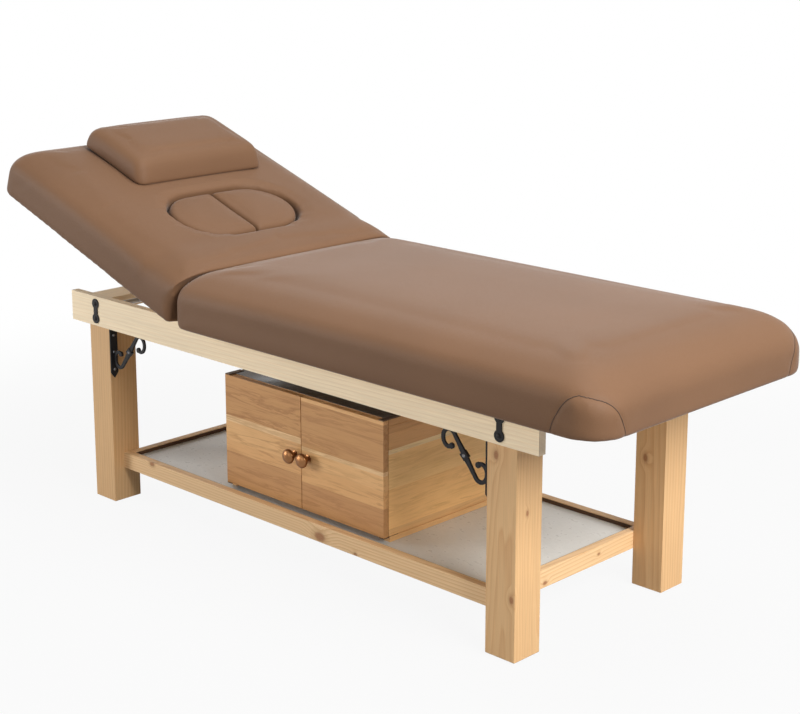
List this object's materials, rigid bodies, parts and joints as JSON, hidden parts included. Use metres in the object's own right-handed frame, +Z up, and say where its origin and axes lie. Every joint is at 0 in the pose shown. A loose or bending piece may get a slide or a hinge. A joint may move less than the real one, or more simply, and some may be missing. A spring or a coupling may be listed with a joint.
{
  "type": "spa bed with cabinet base",
  "caption": "Padded treatment bed on a timber frame: tilting head section with face hole and plugs, loose pillow, low shelf and a cabinet with doors.",
  "frame": {"origin": "on the floor, under the middle of the bed's whole length and width with the head section at its rest tilt", "axes": "+X towards the foot end, +Y towards the side without doors, +Z up; the cabinet doors face -Y"},
  "size_m": [1.8888, 0.72, 0.9152],
  "materials": {
    "leatherette": "satin",
    "leg_pine": "satin",
    "rail_pine": "satin",
    "plywood": "matte",
    "grey_board": "matte",
    "cabinet_wood": "satin",
    "black_iron": "matte",
    "zinc_steel": "satin",
    "copper": "polished",
    "black_plastic": "matte"
  },
  "bodies": {
    "base": {"leg_front_head": "leg_pine", "leg_front_foot": "leg_pine", "leg_rear_head": "leg_pine", "leg_rear_foot": "leg_pine", "foot_glides": "black_plastic", "side_rail_front": "rail_pine", "side_rail_rear": "rail_pine", "crossbar_head": "rail_pine", "crossbar_foot": "rail_pine", "hinge_bearer": "rail_pine", "slat_mid": "rail_pine", "slat_foot": "rail_pine", "shelf_rail_front": "rail_pine", "shelf_rail_rear": "rail_pine", "shelf_rail_head": "rail_pine", "shelf_rail_foot": "rail_pine", "shelf_board": "grey_board", "shelf_cleats": "rail_pine", "cabinet_side_left": "cabinet_wood", "cabinet_side_right": "cabinet_wood", "cabinet_top": "cabinet_wood", "cabinet_bottom": "cabinet_wood", "cabinet_back": "cabinet_wood", "cabinet_plinth": "cabinet_wood", "door_pivots": "zinc_steel", "door_catches": "black_plastic", "scroll_front_head": "black_iron", "scroll_front_foot": "black_iron", "scroll_rear_head": "black_iron", "scroll_rear_foot": "black_iron", "rail_plates": "black_iron", "rail_bolts": "black_iron", "main_board": "plywood", "main_cushion": "leatherette", "hinge_fixed_leaves": "zinc_steel", "hinge_pins": "zinc_steel", "racks": "zinc_steel"},
    "head_section": {"head_board": "plywood", "head_cushion": "leatherette", "hinge_moving_leaves": "zinc_steel", "prop_lugs": "zinc_steel"},
    "prop": {"prop_pivot_rod": "zinc_steel", "prop_arms": "zinc_steel", "prop_foot_bar": "zinc_steel"},
    "door_left": {"door_left": "cabinet_wood", "knob_left": "copper", "catch_plate_left": "zinc_steel"},
    "door_right": {"door_right": "cabinet_wood", "knob_right": "copper", "catch_plate_right": "zinc_steel"},
    "plug_front": {"plug_front": "leatherette"},
    "plug_rear": {"plug_rear": "leatherette"},
    "pillow": {"pillow": "leatherette"}
  },
  "joints": [
    {"name": "head_tilt", "type": "hinge", "parent": "base", "child": "head_section", "pos_m": [-0.27655, 0, 0.5165], "axis": [0, 1, 0], "range_deg": [-19.1, 17.9]},
    {"name": "prop_swing", "type": "hinge", "parent": "head_section", "child": "prop", "pos_m": [-0.42774, 0, 0.56885], "axis": [0, 1, 0], "range_deg": [-36, 38.4]},
    {"name": "door_left_swing", "type": "hinge", "parent": "base", "child": "door_left", "pos_m": [-0.25605, -0.208, 0.26], "axis": [0, 0, -1], "range_deg": [0, 105]},
    {"name": "door_right_swing", "type": "hinge", "parent": "base", "child": "door_right", "pos_m": [0.25695, -0.208, 0.26], "axis": [0, 0, 1], "range_deg": [0, 105]},
    {"name": "plug_front_lift", "type": "slide", "parent": "head_section", "child": "plug_front", "axis": [0.3272, 0, 0.9449], "range_m": [0, 0.16]},
    {"name": "plug_rear_lift", "type": "slide", "parent": "head_section", "child": "plug_rear", "axis": [0.3272, 0, 0.9449], "range_m": [0, 0.16]},
    {"name": "pillow_lift", "type": "slide", "parent": "head_section", "child": "pillow", "axis": [0.3272, 0, 0.9449], "range_m": [0, 0.12]}
  ],
  "couplings": [
    {"joint": "prop_swing", "follows": "head_tilt", "ratio": -2}
  ]
}
